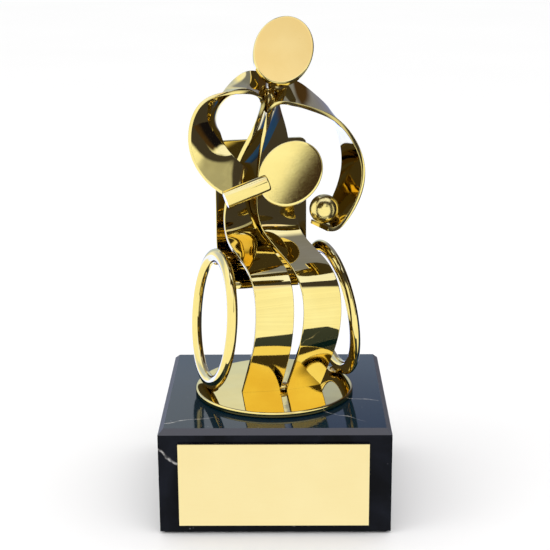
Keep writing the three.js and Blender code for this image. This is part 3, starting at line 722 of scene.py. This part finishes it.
sections = strip_sections(LEFT_STRIP_PATH, 1)
centre, across, normal = sections[BALL_STATION * STRIP_STEPS * FINE_STEPS][:3]
ball_centre = centre - across * BALL_FORWARD
ball_centre = ball_centre - normal * (STRIP_THICKNESS / 2 + BALL_RADIUS + 2 * CAD_GAP)
profile = [(0, -BALL_RADIUS)] + arc_points((0, 0), BALL_RADIUS, -88, 88, 60) + [(0, BALL_RADIUS)]
verts, faces = spun(profile, 96)
verts = in_place(FIGURE @ moved(*ball_centre), verts)
piece("ball_polished", "ball", verts, faces, BRASS_BALL)

profile = [(0, DISC_BOTTOM), (DISC_RADIUS - 1, DISC_BOTTOM)]
rounding = DISC_LOWER_ROUND
profile += arc_points((DISC_RADIUS - rounding, DISC_BOTTOM + rounding), rounding, -90, 0, 4)
profile += arc_points((DISC_RADIUS - DISC_RIM, DISC_TOP - DISC_RIM), DISC_RIM, 0, 90, 8)
profile += [(DISC_RADIUS - 1, DISC_TOP), (0, DISC_TOP)]
verts, faces = spun(profile, 192)
verts = in_place(moved(*DISC_CENTRE, 0), verts)
piece("base_disc_polished", "base_disc", verts, faces, BRASS_SHEET)


# ---- CAD nodes that keep their shape ----------------------------------------------------------

for node, finish in (
    ("felt_pad", FELT), ("marble_base", MARBLE),
    ("engraving_plate", PLATE_GOLD), ("plate_adhesive", ADHESIVE),
    ("fixing_stud", STEEL), ("fixing_washer", STEEL), ("fixing_nut", STEEL),
):
    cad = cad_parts[node]
    cad.data.materials.clear()
    cad.data.materials.append(finish)


def bead(node, swelling):
    """A smooth bead of filler in place of the CAD bead, swollen to flow onto its neighbours."""
    box_low, box_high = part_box(node)
    centre = (Vector(box_low) + Vector(box_high)) / 2 / MM
    half = (Vector(box_high) - Vector(box_low)) / 2 / MM
    verts, faces = spun([(0, -1)] + arc_points((0, 0), 1, -86, 86, 24) + [(0, 1)], 40)
    shaped = []
    for vert in verts:
        direction = Vector(vert)
        swell = 1.0 + BEAD_UNEVENNESS * noise.noise(direction * BEAD_LUMPS + centre)
        reach = Vector(a * b * c for a, b, c in zip(direction, half, swelling))
        shaped.append(centre + reach * swell)
    piece(node + "_cast", node, shaped, faces, BRAZE)


for node in sorted(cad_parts):
    if node.startswith("braze_"):
        bead(node, BEAD_SWELLINGS.get(node, BEAD_SWELLING))


# ---- floor, light, camera ---------------------------------------------------------------------

def plane(name, size_x, size_y, matrix, finish):
    """A flat rectangle of the scene, not of the trophy. Its sizes and matrix are in metres."""
    mesh = bpy.data.meshes.new(name)
    x, y = size_x / 2, size_y / 2
    mesh.from_pydata([(-x, -y, 0), (x, -y, 0), (x, y, 0), (-x, y, 0)], [], [(0, 1, 2, 3)])
    mesh.materials.append(finish)
    made = bpy.data.objects.new(name, mesh)
    made.matrix_world = matrix
    scene.collection.objects.link(made)
    return made


FLOOR_SIZE = 12
paper, t = material("paper_floor")
tone = t.mixed(t.noise(t.place(), 3, 2), (0.88, 0.88, 0.88, 1), (0.91, 0.91, 0.91, 1))
finish_surface(t, t.add("BsdfPrincipled", {
    "Base Color": tone, "Roughness": 0.9, "Specular IOR Level": 0.0,
}))
floor = plane("floor", FLOOR_SIZE, FLOOR_SIZE, moved(0, 0, 0), paper)
floor.visible_glossy = False      # the studio below takes its place in reflections


CARD_NEAR, CARD_FAR = 0.028, 0.036      # metres; metal nearer to a card doesn't reflect it
CARD_FADE = 0.004


def black_card(name, size_x, size_y, matrix, again_above):
    """A card that far-off metal reflects, and reflections of reflections above a height."""
    made, t = material(name)
    rays = t.add("LightPath")
    second = t.ranged(rays.outputs["Ray Depth"], 1.4, 1.6)
    shown = t.ranged(rays.outputs["Ray Length"], CARD_NEAR, CARD_FAR)
    if again_above is None:
        shown = t.maths("MULTIPLY", shown, t.maths("SUBTRACT", 1.0, second))
    else:
        position = t.add("NewGeometry").outputs["Position"]
        height = t.add("SeparateXYZ", {"Vector": position}).outputs["Z"]
        high_up = t.ranged(height, again_above, again_above + CARD_FADE)
        shown = t.maths("MAXIMUM", shown, t.maths("MULTIPLY", second, high_up))
    card = t.add("Emission", {"Color": (0.050, 0.045, 0.050, 1), "Strength": 1.0})
    clear = t.add("BsdfTransparent")
    mix = t.add("MixShader", {0: shown, 1: clear.outputs[0], 2: card.outputs[0]})
    t.link(mix.outputs[0], t.add("OutputMaterial").inputs["Surface"])
    made_card = plane(name, size_x, size_y, matrix, made)
    made_card.visible_camera = False
    made_card.visible_diffuse = False
    made_card.visible_shadow = False
    made_card.visible_transmission = False


# Black cards before the lap and beside it darken the body and the chair, as in the photo.
lap_place = moved(0.0275, -0.03, 0.138) @ turned("X", 90)
black_card("lap_card", 0.115, 0.124, lap_place, 0.097)
side_place = moved(0.048, 0.0025, 0.1025) @ turned("Z", 90) @ turned("X", 90)
black_card("side_card", 0.075, 0.095, side_place, None)

world = bpy.data.worlds.new("studio")
scene.world = world
t = Tree(world)
split = t.add("SeparateXYZ", {"Vector": t.add("TexCoord").outputs["Generated"]})
toward = t.maths("MULTIPLY", split.outputs["Y"], -1.0)
around = t.maths("DEGREES", t.maths("ARCTAN2", split.outputs["X"], toward))
above = t.maths("DEGREES", t.maths("ARCSINE", split.outputs["Z"]))


def within(value, bottom, top, soft):
    """1 between two values and 0 outside them, with soft edges."""
    rising = t.ranged(value, bottom - soft, bottom + soft)
    return t.maths("MULTIPLY", rising, t.ranged(value, top - soft, top + soft, 1.0, 0.0))


# What the polished metal and stone reflect, card by card: directions around the trophy from its
# front (plus is right) and above level, and the softness of the edges, in degrees, then colour.
# A later card covers the earlier ones.
CARDS = (
    ((-190, 190), (52, 100), 6, (1.05, 1.12, 1.45)),
    ((122, 190), (-8, 64), 5, (0.22, 0.24, 0.42)),
    ((-190, -150), (24, 64), 6, (0.24, 0.28, 0.50)),
    ((-150, -118), (2, 40), 8, (0.57, 0.68, 1.15)),
    ((173, 190), (-12, 21), 3, (0.56, 0.66, 0.85)),
    ((-190, -150), (-12, 21), 3, (0.56, 0.66, 0.85)),
    ((166, 190), (50, 100), 5, (0.20, 0.23, 0.40)),
    ((-190, -150), (50, 100), 5, (0.20, 0.23, 0.40)),
    ((-182, -138), (-34, -10), 2, (1.00, 1.20, 2.40)),
    ((80, 152), (-75, 50), 4, (0.060, 0.035, 0.018)),
    ((90, 124), (-75, 52), 4, (0.0075, 0.0065, 0.013)),
    ((118, 158), (-70, -8), 7, (0.018, 0.062, 0.26)),
    ((50, 77), (41, 62), 4, (0.44, 0.45, 0.44)),
    ((0, 55), (56, 76), 3, (1.0, 0.90, 0.93)),
)
room = (1.08, 1.10, 1.02, 1)      # where there is no card
streaks = t.noise(t.mapped(t.add("TexCoord").outputs["Generated"], (1, 1, 2.5)), 7, 3, 0.6, 1.5)
for (left, right), (bottom, top), soft, colour in CARDS:
    card = t.maths("MULTIPLY", within(around, left, right, soft), within(above, bottom, top, soft))
    room = t.mixed(card, room, (*colour, 1))

room = t.mixed(1.0, room, t.ranged(streaks, 0.3, 0.7, 0.93, 1.05), "MULTIPLY")

# A dark card with a slanted left edge shades one side of the paddle's blade.
SLANT_ACROSS, SLANT_UP = 0.766, 0.643       # the edge leans 40 degrees
slant = t.maths("MULTIPLY", around, SLANT_ACROSS)
slant = t.maths("SUBTRACT", slant, t.maths("MULTIPLY", above, SLANT_UP))
shade = t.maths("MULTIPLY", t.ranged(slant, -8.5, -7.75), within(around, 10, 33, 1))
shade = t.maths("MULTIPLY", shade, within(above, 27, 50, 0.5))
room = t.mixed(shade, room, (0.045, 0.028, 0.020, 1))

# Reflections of reflections stay dark, except from overhead and from high in front of the trophy.
rays = t.add("LightPath")
again = t.ranged(rays.outputs["Ray Depth"], 2.4, 2.6)
ahead = t.maths("MULTIPLY", within(around, -80, 80, 8), t.ranged(above, 22, 32))
bright = t.maths("MAXIMUM", t.ranged(above, 48, 60), ahead)
room_again = t.mixed(bright, (0.05, 0.045, 0.045, 1), (1.05, 1.05, 0.98, 1))
reflected = t.add("Background", {"Color": t.mixed(again, room, room_again), "Strength": 1.0})
seen = t.add("Background", {"Color": (1, 1, 1, 1), "Strength": 1.1})
glossy = rays.outputs["Is Glossy Ray"]
mix = t.add("MixShader", {0: glossy, 1: seen.outputs[0], 2: reflected.outputs[0]})
t.link(mix.outputs[0], t.add("OutputWorld").inputs["Surface"])


def softbox(name, location, target, size_x, size_y, radiance, colour):
    """A soft light that lights the scene but isn't reflected in it."""
    data = bpy.data.lights.new(name, "AREA")
    data.shape = "RECTANGLE"
    data.size, data.size_y = size_x, size_y
    data.energy = radiance * math.pi * size_x * size_y
    data.color = colour
    made = bpy.data.objects.new(name, data)
    made.location = location
    made.rotation_euler = (Vector(target) - Vector(location)).to_track_quat("-Z", "Y").to_euler()
    scene.collection.objects.link(made)
    made.visible_glossy = False


softbox("front_box", (0.15, -0.36, 0.85), (0, 0, 0.12), 0.6, 0.6, 0.72, (1.0, 0.9, 0.93))
softbox("left_box", (-0.75, -0.35, 0.6), (0, 0, 0.1), 0.5, 0.7, 1.2, (1.0, 1.0, 0.97))

# The camera, fitted to the corners of the block: degrees, metres, and a focal length in pixels.
AZIMUTH, ELEVATION, ROLL = 0.5, 15.832, -0.336
DISTANCE = 0.512557
TARGET = Vector((0.00002, 0.0, 0.087138))
FOCAL_PIXELS, FRAME_PIXELS, SENSOR = 1342.532, 550, 36.0

azimuth, elevation = math.radians(AZIMUTH), math.radians(ELEVATION)
level = math.cos(elevation)
back = Vector((math.sin(azimuth) * level, -math.cos(azimuth) * level, math.sin(elevation)))
right = Vector((math.cos(azimuth), math.sin(azimuth), 0))
up = back.cross(right)
view = Matrix((right, up, back)).transposed().to_4x4()
camera_data = bpy.data.cameras.new("camera")
camera_data.sensor_width = SENSOR
camera_data.lens = FOCAL_PIXELS * SENSOR / FRAME_PIXELS
camera_data.clip_start, camera_data.clip_end = 0.01, 30
camera = bpy.data.objects.new("camera", camera_data)
camera.matrix_world = Matrix.Translation(TARGET + back * DISTANCE) @ view @ turned("Z", ROLL)
scene.collection.objects.link(camera)
scene.camera = camera
